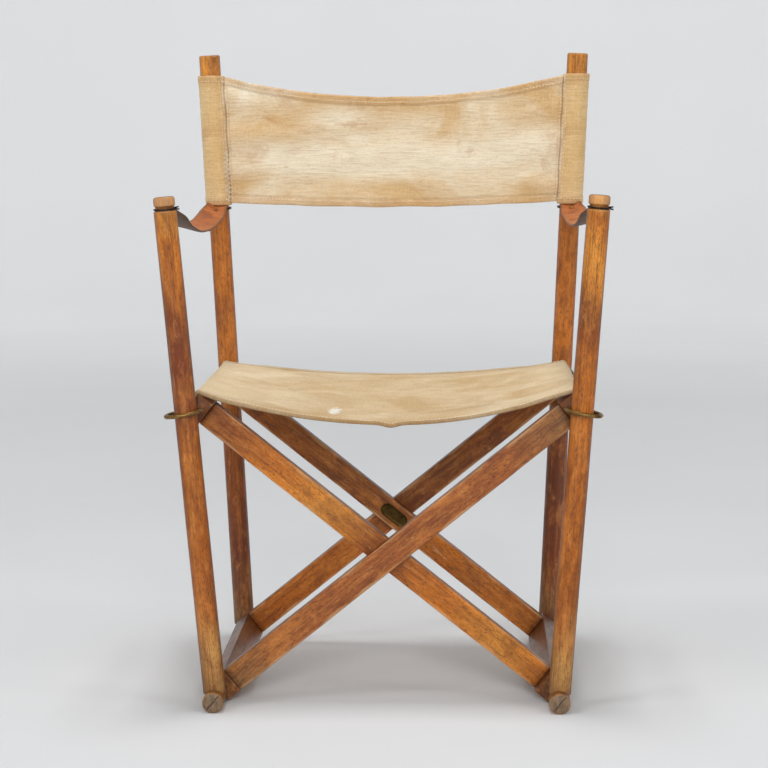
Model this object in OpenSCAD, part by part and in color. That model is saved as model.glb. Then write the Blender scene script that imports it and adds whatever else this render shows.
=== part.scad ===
// Folding chair with canvas seat and back, round side poles and a scissor stool.
// Units are millimetres. X runs to the chair's left-hand side frame at -X and right at +X,
// the sitter faces -Y, and Z is up from the floor. It is drawn fully open.

/* [Side frames] */
// Distance between the centre lines of the two floor runners
runner_spacing = 458; // [440:2:480]
// Length of each floor runner, front to back
runner_length = 466; // [452:2:500]
// Diameter of each round floor runner
runner_d = 28; // [27:0.5:29]
// Diameter of the round poles
pole_d = 30; // [28:0.5:31]
// Distance between the front and rear poles of one side frame
pole_spacing = 404; // [402:1:416]
// Height of the top of the front poles' caps
front_pole_top = 680; // [660:2:700]
// Height of the plain tops of the rear poles
rear_pole_top = 870; // [860:2:900]
// Outward lean of the front left pole in degrees
front_left_lean = 4.9; // [4.3:0.1:5.1]
// Outward lean of the front right pole in degrees
front_right_lean = 4.3; // [4.0:0.1:4.8]
// Outward lean of both rear poles in degrees
rear_lean = 2.7; // [2.5:0.1:2.9]

/* [Scissor stool] */
// Angle of the slats above the floor when the chair is open
slat_angle = 38.8; // [38:0.2:40]
// Distance from a runner's centre line to the middle of the seat rail it carries
rail_reach = 613; // [605:1:620]
// Width of the visible face of a slat
slat_w = 35; // [30:1:36]
// Thickness of a slat, front to back
slat_t = 18; // [15:1:19]
// Thickness of a seat rail along the slats
seat_rail_t = 25; // [22:1:27]
// Length of the four rails, front to back
rail_length = 353; // [351:1:353]
// Diameter of the two hidden pivot pins
pivot_pin_d = 8; // [6:1:10]

/* [Rings] */
// Diameter of a brass pole ring, measured to the middle of its wire
pole_ring_d = 47; // [46:0.5:47]
// Diameter of the wire of a pole ring
pole_ring_wire = 5.5; // [5:0.5:6]
// Slope of the pole rings, dropping outwards, in degrees
pole_ring_slope = 10; // [6:1:12]
// Diameter of the wire of the staples that hold the pole rings
staple_wire = 2.2; // [2:0.1:2.4]
// Diameter of the wire of the small strap rings
strap_ring_wire = 3.6; // [3:0.2:4]

/* [Canvas and leather] */
// Thickness of the canvas
canvas_t = 2.4; // [2:0.2:3]
// How far the seat canvas hangs down in its middle
seat_sag = 34; // [20:1:40]
// Height of the lower edge of the back canvas at its sleeves
back_bottom = 653; // [652:1:670]
// Height of the upper edge of the back canvas at its sleeves
back_top = 839; // [820:1:850]
// How far the back canvas bows backwards in its middle
back_bow = 30; // [20:1:40]
// Width of a leather arm strap
strap_w = 36; // [30:1:40]
// Thickness of a leather arm strap
strap_t = 3; // [2.5:0.5:4]
// How far an arm strap hangs down in its middle
strap_sag = 26; // [15:1:30]

/* [Plate] */
// Length of the blank oval brass plate
plate_l = 45; // [35:1:50]
// Width of the blank oval brass plate
plate_w = 19; // [15:1:22]

/* [Hidden] */
$fn = 64;
// Depth of the worn flat under each runner, which rests on the floor
floor_flat = 0.3;
runner_r = runner_d / 2;
pole_r = pole_d / 2;
runner_x = runner_spacing / 2;
runner_z = runner_r - floor_flat;
pole_y = pole_spacing / 2;
// Height above the runner's centre at which a pole's scooped foot ends
foot_rise = 7;
// Tenon that joins a pole to its runner, and how deep it goes past the runner's top
tenon_r = 6;
tenon_depth = 16;
tenon_gap = 0.05;
// Turned neck and cap of a front pole
neck_r = 12;
neck_h = 6;
cap_r = 14;
cap_h = 12;
cap_edge = 3;
pole_edge = 1.5;
// Distance along the slats from a runner's centre to where the slats start
slat_start = 26;
slat_end = rail_reach - seat_rail_t / 2;
// Distance along the slats from a runner's centre to the back of the coved rail
cove_start = 4;
cove_gap = 0.05;
// Clear distance between the outer and the inner slats
slat_gap = 1;
washer_r = 9;
washer_t = 0.7;
pivot_gap = 0.05;
pivot_seat_gap = 0.02;
pivot_blind = 3.5;
pivot_r = pivot_pin_d / 2;
pivot_reach = runner_x / cos(slat_angle);
outer_slat_y = rail_length / 2 - slat_t / 2;
inner_slat_y = outer_slat_y - slat_t - slat_gap;
// Brass eyes that hold the lower rails to the runners
eye_y = 110;
eye_w = 16;
eye_groove_r = 12;
eye_gap = 0.05;
eye_t = 1.5;
eye_shank_r = 2;
eye_shank_end = 23;
// Centre of each seat rail, in the XZ plane
rail_x = rail_reach * cos(slat_angle) - runner_x;
rail_z = runner_z + rail_reach * sin(slat_angle);
// Pole rings and the staples they hang from
pole_ring_r = pole_ring_d / 2;
ring_y = rail_length / 2 + 4;
front_left_ring_y = rail_length / 2 + 5.5;
front_left_staple_x = 254.5;
front_right_staple_x = 254;
rear_staple_x = 253;
// How far each ring's centre lies inwards of its pole's centre line
front_left_ring_in = -3;
front_right_ring_in = -1.5;
rear_ring_in = -2;
staple_r = 5.15;
staple_leg = 10;
// Each staple is turned to the middle of its ring's swing
staple_turn = 29.2;
staple_gap = 0.05;
// Small rings for the arm straps
neck_ring_r = neck_r + strap_ring_wire / 2 + 0.2;
rear_strap_ring_r = pole_r + strap_ring_wire / 2 + 0.4;
rear_strap_ring_z = 646;
strap_end_y = 184.5;
strap_front_z = front_pole_top - 20;
strap_rear_z = 650;
// Canvas sleeves round the rear poles
sleeve_gap = 0.3;
sleeve_r = pole_r + sleeve_gap + canvas_t;
back_top_drop = 32;
back_bottom_drop = 8;
panel_gap = 0.4;
edge_steps = 12;
// Canvas over the seat rails
seat_depth = 348;
seat_gap = 0.6;
seat_flap = 24;
rail_corner_x = rail_x + cos(slat_angle) * seat_rail_t / 2 - sin(slat_angle) * slat_w / 2;
rail_corner_z = rail_z + sin(slat_angle) * seat_rail_t / 2 + cos(slat_angle) * slat_w / 2;
plate_t = 1.2;
plate_gap = 0.02;

wood_color = [0.62, 0.34, 0.15];
brass_color = [0.62, 0.50, 0.28];
dark_metal_color = [0.28, 0.26, 0.23];
canvas_color = [0.82, 0.73, 0.56];
leather_color = [0.55, 0.28, 0.16];

// Places children on a pole's centre line: side is -1 or 1, row is -1 for front and 1 for rear,
// and the local Z axis runs up the pole from the runner's centre line.
module on_pole(side, row, lean) {
  translate([side * runner_x, row * pole_y, runner_z])
    rotate([0, side * lean, 0])
      children();
}

// Distance up a leaning pole that reaches a given height above the floor.
function up_pole(height, lean) = (height - runner_z) / cos(lean);

// Places children on the outer stool half: local X runs up the slats from the left runner.
module on_outer() {
  translate([-runner_x, 0, runner_z])
    rotate([0, -slat_angle, 0])
      children();
}

// Places children on the inner stool half, the mirror image from the right runner.
module on_inner() {
  mirror([1, 0, 0])
    on_outer()
      children();
}

// A round bar along Y.
module bar_y(radius, length) {
  rotate([90, 0, 0])
    cylinder(r = radius, h = length, center = true);
}

// One floor runner with a worn flat, tenon holes and two grooves for the brass eyes.
module runner(side, front_lean) {
  color(wood_color)
    difference() {
      translate([side * runner_x, 0, runner_z])
        bar_y(runner_r, runner_length);
      translate([side * runner_x, 0, -runner_r])
        cube([runner_d, runner_length + 2, runner_d], center = true);
      for (end = [-1, 1]) {
        translate([side * runner_x, end * eye_y, runner_z])
          difference() {
            bar_y(runner_r + 1, eye_w + 1);
            bar_y(eye_groove_r, eye_w + 2);
          }
      }
      on_pole(side, -1, front_lean)
        tenon_hole();
      on_pole(side, 1, rear_lean)
        tenon_hole();
    }
}

module tenon_hole() {
  translate([0, 0, runner_r - tenon_depth])
    cylinder(r = tenon_r + tenon_gap, h = tenon_depth + 1);
}

// The scooped foot and tenon that every pole has, up to a given length.
module pole_shaft(length) {
  difference() {
    translate([0, 0, foot_rise])
      cylinder(r = pole_r, h = length - foot_rise);
    bar_y(runner_r + tenon_gap, pole_d + 2);
  }
  translate([0, 0, runner_r - tenon_depth + tenon_gap])
    cylinder(r = tenon_r, h = tenon_depth + 1);
}

// A front pole, turned in one piece with its neck and cap.
module front_pole(side, lean) {
  top = up_pole(front_pole_top, lean);
  color(wood_color)
    on_pole(side, -1, lean) {
      pole_shaft(top - cap_h - neck_h);
      translate([0, 0, top - cap_h - neck_h - 1])
        cylinder(r = neck_r, h = neck_h + 2);
      translate([0, 0, top - cap_h])
        cylinder(r = cap_r, h = cap_h - cap_edge);
      translate([0, 0, top - cap_edge])
        cylinder(r1 = cap_r, r2 = cap_r - cap_edge, h = cap_edge);
    }
}

// A tall rear pole with a plain, lightly chamfered top.
module rear_pole(side) {
  top = up_pole(rear_pole_top, rear_lean);
  color(wood_color)
    on_pole(side, 1, rear_lean) {
      pole_shaft(top - pole_edge);
      translate([0, 0, top - pole_edge])
        cylinder(r1 = pole_r, r2 = pole_r - pole_edge, h = pole_edge);
    }
}

// A plain wire ring about Z.
module wire_ring(radius, wire) {
  rotate_extrude()
    translate([radius, 0])
      circle(d = wire);
}

// The small ring in the neck of a front pole.
module neck_ring(side, lean) {
  color(dark_metal_color)
    on_pole(side, -1, lean)
      translate([0, 0, up_pole(front_pole_top, lean) - cap_h - neck_h / 2])
        wire_ring(neck_ring_r, strap_ring_wire);
}

// The small ring on a rear pole, just under the canvas sleeve.
module rear_strap_ring(side) {
  color(dark_metal_color)
    on_pole(side, 1, rear_lean)
      translate([0, 0, up_pole(rear_strap_ring_z, rear_lean)])
        wire_ring(rear_strap_ring_r, strap_ring_wire);
}

// Height of an arm strap's underside at a share of the way from front to rear, 0 to 1.
function strap_z(share) =
  strap_front_z + (strap_rear_z - strap_front_z) * share - strap_sag * 4 * share * (1 - share);

// A leather arm strap, hanging in a shallow curve between the two poles of a side frame.
module arm_strap(side, front_lean) {
  front_x = runner_x + (strap_front_z - runner_z) * tan(front_lean);
  rear_x = runner_x + (strap_rear_z - runner_z) * tan(rear_lean);
  turn = atan((front_x - rear_x) / pole_spacing);
  length = 2 * strap_end_y;
  lower = [for (i = [0:edge_steps]) [(i / edge_steps - 0.5) * length, strap_z(i / edge_steps)]];
  upper = [for (i = [edge_steps:-1:0]) [lower[i][0], lower[i][1] + strap_t]];
  color(leather_color)
    translate([side * (front_x + rear_x) / 2, 0, 0])
      rotate([0, 0, side * turn])
        rotate([90, 0, 90])
          linear_extrude(height = strap_w, center = true)
            polygon(concat(lower, upper));
}

// The canvas sleeve round a rear pole.
module back_sleeve(side) {
  low = up_pole(back_bottom, rear_lean);
  high = up_pole(back_top, rear_lean);
  color(canvas_color)
    on_pole(side, 1, rear_lean)
      translate([0, 0, low])
        difference() {
          cylinder(r = sleeve_r, h = high - low);
          translate([0, 0, -1])
            cylinder(r = pole_r + sleeve_gap, h = high - low + 2);
        }
}

// Half the width of the back panel at a height above the floor.
function panel_half(height) =
  runner_x + (height - runner_z) * tan(rear_lean) - sleeve_r / cos(rear_lean) - panel_gap;

// One point of the back panel's outline: share runs from -1 at the left to 1 at the right.
function panel_point(share, height, drop) =
  [share * panel_half(height), height - drop * (1 - share * share)];

// The back panel between the sleeves: an arc in plan, cut to its outline.
module back_canvas() {
  half = panel_half(back_top);
  arc_r = (half * half + back_bow * back_bow) / (2 * back_bow);
  shares = [for (i = [0:edge_steps]) 2 * i / edge_steps - 1];
  top_edge = [for (s = shares) panel_point(s, back_top, back_top_drop)];
  low_edge = [for (s = shares) panel_point(-s, back_bottom, back_bottom_drop)];
  color(canvas_color)
    intersection() {
      translate([0, pole_y + back_bow - arc_r, back_bottom - 20])
        difference() {
          cylinder(r = arc_r + canvas_t / 2, h = back_top - back_bottom + 40, $fn = 360);
          translate([0, 0, -1])
            cylinder(r = arc_r - canvas_t / 2, h = back_top - back_bottom + 42, $fn = 360);
        }
      translate([0, pole_y + back_bow + 5, 0])
        rotate([90, 0, 0])
          linear_extrude(height = back_bow + 30)
            polygon(concat(top_edge, low_edge));
    }
}

// A lower rail in stool coordinates, coved to sit round its runner.
module lower_rail() {
  difference() {
    translate([cove_start, -rail_length / 2, -slat_w / 2])
      cube([slat_start - cove_start, rail_length, slat_w]);
    bar_y(runner_r + cove_gap, rail_length + 2);
    for (end = [-1, 1]) {
      translate([0, end * eye_y, 0])
        rotate([0, 90, 0])
          cylinder(r = eye_shank_r + eye_gap, h = eye_shank_end + 1);
    }
  }
}

// A brass eye round the runner with a shank into the lower rail, in stool coordinates.
module runner_eye(row) {
  color(brass_color)
    translate([0, row * eye_y, 0]) {
      difference() {
        bar_y(eye_groove_r + eye_gap + eye_t, eye_w);
        bar_y(eye_groove_r + eye_gap, eye_w + 2);
      }
      rotate([0, 90, 0])
        translate([0, 0, eye_groove_r + eye_t / 2])
          cylinder(r = eye_shank_r, h = eye_shank_end - eye_groove_r - eye_t / 2);
    }
}

// A seat rail in stool coordinates, with holes for the legs of its two staples.
module seat_rail(front_x, front_y, rear_x) {
  difference() {
    translate([slat_end, -rail_length / 2, -slat_w / 2])
      cube([seat_rail_t, rail_length, slat_w]);
    staple_holes(-1, front_x, front_y);
    staple_holes(1, rear_x, ring_y);
  }
}

// Places children at a staple, in its own directions, from stool coordinates.
module at_staple(row, staple_x, staple_y) {
  rotate([0, slat_angle, 0])
    translate([staple_x + runner_x, row * staple_y, rail_z - runner_z])
      rotate([0, staple_turn, 0])
        children();
}

module staple_holes(row, staple_x, staple_y) {
  at_staple(row, staple_x, staple_y)
    for (side = [-1, 1]) {
      translate([0, -row * (staple_leg + 4) / 2 - row * 1, side * staple_r])
        bar_y(staple_wire / 2 + staple_gap, staple_leg + 4);
    }
}

// A brass wire staple round a pole ring, driven into the end of a seat rail.
module staple(row, staple_x, staple_y) {
  color(brass_color)
    at_staple(row, staple_x, staple_y) {
      rotate([0, 90, 0])
        rotate([0, 0, 90 - row * 90])
          rotate_extrude(angle = 180)
            translate([staple_r, 0])
              circle(d = staple_wire);
      for (side = [-1, 1]) {
        translate([0, -row * (staple_leg + 2) / 2, side * staple_r])
          bar_y(staple_wire / 2, staple_leg + 2);
      }
    }
}

// One slat in stool coordinates, with a blind hole for its pivot pin.
module slat(slat_y, row, hole_r) {
  inner_side = slat_y > inner_slat_y ? -1 : 1;
  difference() {
    translate([slat_start, row * slat_y - slat_t / 2, -slat_w / 2])
      cube([slat_end - slat_start, slat_t, slat_w]);
    translate([pivot_reach, row * (slat_y + inner_side * pivot_blind), 0])
      bar_y(hole_r, slat_t + 0.02);
  }
}

// A hidden pivot pin through an outer and an inner slat.
module pivot_pin(row) {
  low = inner_slat_y - slat_t / 2 + pivot_blind + 0.2;
  high = outer_slat_y + slat_t / 2 - pivot_blind - 0.2;
  color(brass_color)
    on_outer()
      translate([pivot_reach, row * (low + high) / 2, 0])
        bar_y(pivot_r, high - low);
}

// A thin washer between an outer and an inner slat.
module pivot_washer(row) {
  color(brass_color)
    on_outer()
      translate([pivot_reach, row * (outer_slat_y + inner_slat_y) / 2, 0])
        difference() {
          bar_y(washer_r, washer_t);
          bar_y(pivot_r + pivot_gap, washer_t + 2);
        }
}

// Height of the seat canvas's underside at a distance from the middle of the chair.
function seat_z(x) =
  rail_corner_z + seat_gap - seat_sag * (1 - x * x / (rail_corner_x * rail_corner_x));

// A point beside the right seat rail's outer face: out is away from the face, down is along it.
function beside_rail(out, down) = [
  rail_corner_x + out * cos(slat_angle) + down * sin(slat_angle),
  rail_corner_z + out * sin(slat_angle) - down * cos(slat_angle)
];

// The seat canvas, hanging between the seat rails and turned down over their outer faces.
module seat_canvas() {
  span = [for (i = [0:2 * edge_steps]) rail_corner_x * (i / edge_steps - 1)];
  lower = [for (x = span) [x, seat_z(x)]];
  upper = [for (i = [2 * edge_steps:-1:0]) [span[i], seat_z(span[i]) + canvas_t]];
  flap = [
    beside_rail(seat_gap, 0),
    beside_rail(seat_gap, seat_flap),
    beside_rail(seat_gap + canvas_t, seat_flap),
    beside_rail(seat_gap + canvas_t, 0)
  ];
  left_flap = [for (i = [3:-1:0]) [-flap[i][0], flap[i][1]]];
  color(canvas_color)
    rotate([90, 0, 0])
      linear_extrude(height = seat_depth, center = true)
        polygon(concat(lower, flap, upper, left_flap));
}

// The blank oval plate on the front face of the inner rear slat.
module blank_plate() {
  color(brass_color)
    on_inner()
      translate([pivot_reach, inner_slat_y - slat_t / 2 - plate_gap, 0])
        rotate([90, 0, 0])
          linear_extrude(height = plate_t)
            plate_outline();
}

module plate_outline() {
  half = (plate_l - plate_w) / 2;
  translate([-half, 0])
    circle(d = plate_w);
  translate([half, 0])
    circle(d = plate_w);
  square([plate_l - plate_w, plate_w], center = true);
}

// A loose brass ring round a pole, hung from a staple at the end of a seat rail.
module pole_ring(side, row, lean, staple_x, staple_y, ring_in) {
  axis_x = runner_x + (rail_z - runner_z) * tan(lean);
  offset_x = axis_x - staple_x - ring_in;
  offset_y = sqrt(pole_ring_r * pole_ring_r - offset_x * offset_x);
  color(brass_color)
    translate([side * staple_x, row * staple_y, rail_z])
      rotate([0, side * pole_ring_slope, 0])
        translate([side * offset_x, row * offset_y, 0])
          wire_ring(pole_ring_r, pole_ring_wire);
}

runner(-1, front_left_lean);  // left_runner
front_pole(-1, front_left_lean);  // front_left_pole
rear_pole(-1);  // rear_left_pole
arm_strap(-1, front_left_lean);  // left_strap
neck_ring(-1, front_left_lean);  // left_neck_ring
rear_strap_ring(-1);  // left_rear_strap_ring
back_sleeve(-1);  // left_back_sleeve
back_canvas();
runner(1, front_right_lean);  // right_runner
front_pole(1, front_right_lean);  // front_right_pole
rear_pole(1);  // rear_right_pole
arm_strap(1, front_right_lean);  // right_strap
neck_ring(1, front_right_lean);  // right_neck_ring
rear_strap_ring(1);  // right_rear_strap_ring
back_sleeve(1);  // right_back_sleeve
color(wood_color) on_outer() lower_rail();  // outer_lower_rail
color(wood_color) on_outer() seat_rail(front_right_staple_x, ring_y, rear_staple_x);  // outer_seat_rail
color(wood_color) on_outer() slat(outer_slat_y, -1, pivot_r + pivot_seat_gap);  // outer_front_slat
color(wood_color) on_outer() slat(outer_slat_y, 1, pivot_r + pivot_seat_gap);  // outer_rear_slat
on_outer() runner_eye(-1);  // outer_front_eye
on_outer() runner_eye(1);  // outer_rear_eye
on_outer() staple(-1, front_right_staple_x, ring_y);  // outer_front_staple
on_outer() staple(1, rear_staple_x, ring_y);  // outer_rear_staple
pivot_pin(-1);  // front_pivot_pin
pivot_pin(1);  // rear_pivot_pin
pivot_washer(-1);  // front_pivot_washer
pivot_washer(1);  // rear_pivot_washer
seat_canvas();
color(wood_color) on_inner() lower_rail();  // inner_lower_rail
color(wood_color) on_inner() seat_rail(front_left_staple_x, front_left_ring_y, rear_staple_x);  // inner_seat_rail
color(wood_color) on_inner() slat(inner_slat_y, -1, pivot_r + pivot_gap);  // inner_front_slat
color(wood_color) on_inner() slat(inner_slat_y, 1, pivot_r + pivot_gap);  // inner_rear_slat
on_inner() runner_eye(-1);  // inner_front_eye
on_inner() runner_eye(1);  // inner_rear_eye
on_inner() staple(-1, front_left_staple_x, front_left_ring_y);  // inner_front_staple
on_inner() staple(1, rear_staple_x, ring_y);  // inner_rear_staple
blank_plate();
pole_ring(-1, -1, front_left_lean, front_left_staple_x, front_left_ring_y, front_left_ring_in);  // front_left_pole_ring
pole_ring(-1, 1, rear_lean, rear_staple_x, ring_y, rear_ring_in);  // rear_left_pole_ring
pole_ring(1, -1, front_right_lean, front_right_staple_x, ring_y, front_right_ring_in);  // front_right_pole_ring
pole_ring(1, 1, rear_lean, rear_staple_x, ring_y, rear_ring_in);  // rear_right_pole_ring
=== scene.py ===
import functools
import math

import bpy
import numpy as np
from mathutils import Matrix, Vector, noise


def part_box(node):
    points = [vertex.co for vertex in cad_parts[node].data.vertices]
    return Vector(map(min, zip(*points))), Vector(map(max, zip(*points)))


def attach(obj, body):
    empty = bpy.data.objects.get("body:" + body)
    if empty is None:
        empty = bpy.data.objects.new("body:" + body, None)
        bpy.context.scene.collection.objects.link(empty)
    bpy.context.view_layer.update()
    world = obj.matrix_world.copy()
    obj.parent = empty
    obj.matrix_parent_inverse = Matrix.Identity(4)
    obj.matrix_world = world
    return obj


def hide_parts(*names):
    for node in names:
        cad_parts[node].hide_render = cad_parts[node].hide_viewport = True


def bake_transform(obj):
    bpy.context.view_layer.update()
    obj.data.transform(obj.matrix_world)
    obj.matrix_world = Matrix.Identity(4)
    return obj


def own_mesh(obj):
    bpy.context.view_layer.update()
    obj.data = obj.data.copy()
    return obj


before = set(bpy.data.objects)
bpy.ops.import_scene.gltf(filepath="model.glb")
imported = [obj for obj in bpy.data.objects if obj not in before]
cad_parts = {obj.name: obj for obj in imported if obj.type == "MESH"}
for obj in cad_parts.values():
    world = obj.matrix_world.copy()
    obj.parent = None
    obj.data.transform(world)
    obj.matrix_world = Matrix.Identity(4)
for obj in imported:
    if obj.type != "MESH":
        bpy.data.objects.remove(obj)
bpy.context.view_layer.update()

SLOPE = math.radians(38.8)  # of the crossed slats
LEAN = {"front_left": 4.9, "front_right": 4.3, "rear_left": 2.7, "rear_right": 2.7}
RING_SLOPE = math.radians(10)  # of the pole rings, down towards the outside
RUNNER_R = 0.014
POLE_R = 0.015
POLE_FOOT = 0.007  # above the runner's centre line
NECK_R = 0.012
CAP_R = 0.014
CAP_H = 0.012
NECK_H = 0.006
SLAT = (0.035, 0.018)
SEAT_RAIL = (0.035, 0.025)
CANVAS_T = 0.0022
LEATHER_T = 0.003
HEM_W = 0.0092
SEAT_FLAP = 0.024  # of the seat cloth, down each rail
STRAP_RUN = 0.369  # front to back between the strap's ends
STRAP_Z = (0.660, 0.650)  # of its front and rear ends
STRAP_W = 0.0365
POLE_RING_WIRE_R = 0.00275
STRAP_RING_WIRE_R = 0.0018
PLATE = (0.045, 0.019)
BACKDROP_GLOW = 0.33


# ---------------------------------------------------------------- helpers

def rgb(r, g, b):
    """A linear colour with alpha, from 0 to 255 values as they look on screen."""
    def lin(c):
        c /= 255
        return c / 12.92 if c <= 0.04045 else ((c + 0.055) / 1.055) ** 2.4
    return (lin(r), lin(g), lin(b), 1)


@functools.lru_cache(maxsize=None)
def low_high(*nodes):
    """The lowest and highest corners of some CAD nodes together."""
    boxes = [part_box(n) for n in nodes]
    low = np.min([np.array(b[0]) for b in boxes], axis=0)
    high = np.max([np.array(b[1]) for b in boxes], axis=0)
    return low, high


def centre(node):
    low, high = low_high(node)
    return (low + high) / 2


def unit(v):
    return np.array(v) / np.linalg.norm(v)


def wobble(p, scale, seed=0.0):
    """Smooth noise from -1 to 1 at a point."""
    return noise.noise(Vector((p[0] * scale + seed, p[1] * scale - seed, p[2] * scale + 2 * seed)))


def smooth(t):
    t = np.clip(t, 0, 1)
    return t * t * (3 - 2 * t)


def build(name, points, faces, material, place=None, smooth_faces=True, marks=None):
    """A mesh object. place is the matrix of its own axes, and marks holds values per point."""
    mesh = bpy.data.meshes.new(name)
    mesh.from_pydata([tuple(p) for p in points], [], faces)
    mesh.update()
    for key, values in (marks or {}).items():
        values = np.array(values, dtype=np.float32)
        kind = "FLOAT" if values.ndim == 1 else "FLOAT_VECTOR"
        attribute = mesh.attributes.new(key, kind, "POINT")
        attribute.data.foreach_set("value" if values.ndim == 1 else "vector", values.ravel())
    if smooth_faces:
        mesh.polygons.foreach_set("use_smooth", [True] * len(mesh.polygons))
    obj = bpy.data.objects.new(name, mesh)
    bpy.context.scene.collection.objects.link(obj)
    obj.data.materials.append(material)
    if place is not None:
        obj.matrix_world = place
    return obj


def placed(x, y, z, origin):
    """The matrix of three axes set at an origin."""
    m = Matrix((x, y, z)).transposed().to_4x4()
    m.translation = Vector(origin)
    return m


def axes(origin, z, x=(0, 1, 0)):
    """A matrix with the given origin and z axis, and x as near as it can be."""
    z = Vector(z).normalized()
    x = (Vector(x) - z * z.dot(Vector(x))).normalized()
    return placed(x, z.cross(x), z, origin)


def loop_faces(rows, ring, closed_rows=False, first=0):
    """Quads between rows of points, each row a closed ring. first is the first point's number."""
    faces = []
    for i in range(rows if closed_rows else rows - 1):
        a, b = first + i * ring, first + (i + 1) % rows * ring
        for j in range(ring):
            k = (j + 1) % ring
            faces.append((a + j, a + k, b + k, b + j))
    return faces


def cap_ends(points, faces, rows, ring, middles):
    """Closes the first and last ring with a fan round a middle point."""
    for row, middle in zip((0, rows - 1), middles):
        points.append(middle)
        mid = len(points) - 1
        for j in range(ring):
            a, b = row * ring + j, row * ring + (j + 1) % ring
            faces.append((a, mid, b) if row == 0 else (a, b, mid))


def circle(count):
    """Angles in equal steps round a circle."""
    return [2 * math.pi * j / count for j in range(count)]


def arc(count):
    """Angles in equal steps over a quarter turn."""
    return [math.pi / 2 * k / (count - 1) for k in range(count)]


def close_stack(faces, rows, ring, first, top):
    """Faces of a stack of rings: its sides, a fan from the last ring to the point top, and its base."""
    last = first + (rows - 1) * ring
    faces += loop_faces(rows, ring, first=first)
    faces += [(last + j, last + (j + 1) % ring, top) for j in range(ring)]
    faces.append(tuple(first + j for j in range(ring - 1, -1, -1)))


def settle(obj, body, node=None):
    """The body a piece rides and the CAD node it stands for."""
    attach(obj, body)
    if node:
        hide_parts(node)


def lathe(name, profile, material, place, seed, segments=56, rough=0.00018):
    """A turned piece about its own Z, from (radius, height, wear, grime) rows."""
    points, wear, grime = [], [], []
    for r, z, w, g in profile:
        for a in circle(segments):
            c = (math.cos(a), math.sin(a))
            rr = r + rough * wobble((c[0] * 0.3, c[1] * 0.3, z), 9, seed)
            points.append([rr * c[0], rr * c[1], z])
            wear.append(w)
            grime.append(g)
    faces = loop_faces(len(profile), segments)
    ends = (profile[0], profile[-1])
    cap_ends(points, faces, len(profile), segments, [(0, 0, end[1]) for end in ends])
    wear += [end[2] for end in ends]
    grime += [end[3] for end in ends]
    return build(name, points, faces, material, place, marks={"wear": wear, "grime": grime})


def wire(name, path, radius, material, closed=False, sides=12):
    """A round wire along a list of points. radius is one number or one for each point."""
    path = np.array(path, float)
    n = len(path)
    points = []
    over = np.array((0, 0, 1), float)
    for i in range(n):
        if closed:
            t = unit(path[(i + 1) % n] - path[i - 1])
        else:
            t = unit(path[min(i + 1, n - 1)] - path[max(i - 1, 0)])
        side = np.cross(over, t)
        if np.linalg.norm(side) < 1e-4:
            side = np.cross((1, 0, 0), t)
        side = unit(side)
        over = np.cross(t, side)
        r = radius[i] if hasattr(radius, "__len__") else radius
        points += [path[i] + r * (math.cos(a) * side + math.sin(a) * over) for a in circle(sides)]
    faces = loop_faces(n, sides, closed)
    if not closed:
        cap_ends(points, faces, n, sides, (path[0], path[-1]))
    return build(name, points, faces, material)


def rounded_rect(w, h, r, steps=4, parts=4):
    """Outline points of a rectangle with round corners, and 1 at each corner point, 0 between."""
    corners = []
    for cx, cy, start in ((1, 1, 0), (-1, 1, 90), (-1, -1, 180), (1, -1, 270)):
        for k in range(steps + 1):
            a = math.radians(start + 90 * k / steps)
            corners.append((cx * (w / 2 - r) + r * math.cos(a), cy * (h / 2 - r) + r * math.sin(a)))
    outline, mark = [], []
    for i, p in enumerate(corners):
        q = corners[(i + 1) % len(corners)]
        outline.append(p)
        mark.append(1.0)
        if math.dist(p, q) > 2.5 * r:
            for k in range(1, parts):
                t = k / parts
                outline.append((p[0] + t * (q[0] - p[0]), p[1] + t * (q[1] - p[1])))
                mark.append(0.0)
    return outline, mark


def beam(name, place, size, length, material, seed, edge=0.0014):
    """A planed wooden bar along its own Z, with worn arrises."""
    section, mark = rounded_rect(size[0], size[1], edge)
    points, wear, grime = [], [], []
    heights = [-length / 2, -length / 2 + edge * 0.6]
    heights += list(np.linspace(-length / 2 + edge * 2, length / 2 - edge * 2, int(length / 0.007)))
    heights += [length / 2 - edge * 0.6, length / 2]
    rows, ring = len(heights), len(section)
    for i, z in enumerate(heights):
        tight = {0: 0.75, 1: 0.3}.get(min(i, rows - 1 - i), 0.0) * edge
        kx, ky = 1 - 2 * tight / size[0], 1 - 2 * tight / size[1]
        near_end = min(z + length / 2, length / 2 - z)
        for (x, y), m in zip(section, mark):
            bump = 0.00022 * wobble((x, y, z * 0.4), 40, seed) if m else 0.0
            points.append((x * kx + bump * np.sign(x), y * ky + bump * np.sign(y), z))
            wear.append(m * (0.75 + 0.5 * wobble((x, y, z), 30, seed + 3)))
            grime.append(float(np.exp(-near_end / 0.006)))
    faces = loop_faces(rows, ring)
    cap_ends(points, faces, rows, ring, [(0, 0, heights[0]), (0, 0, heights[-1])])
    wear += [0.0, 0.0]
    grime += [0.6, 0.6]
    return build(name, points, faces, material, place, marks={"wear": wear, "grime": grime})


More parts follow.
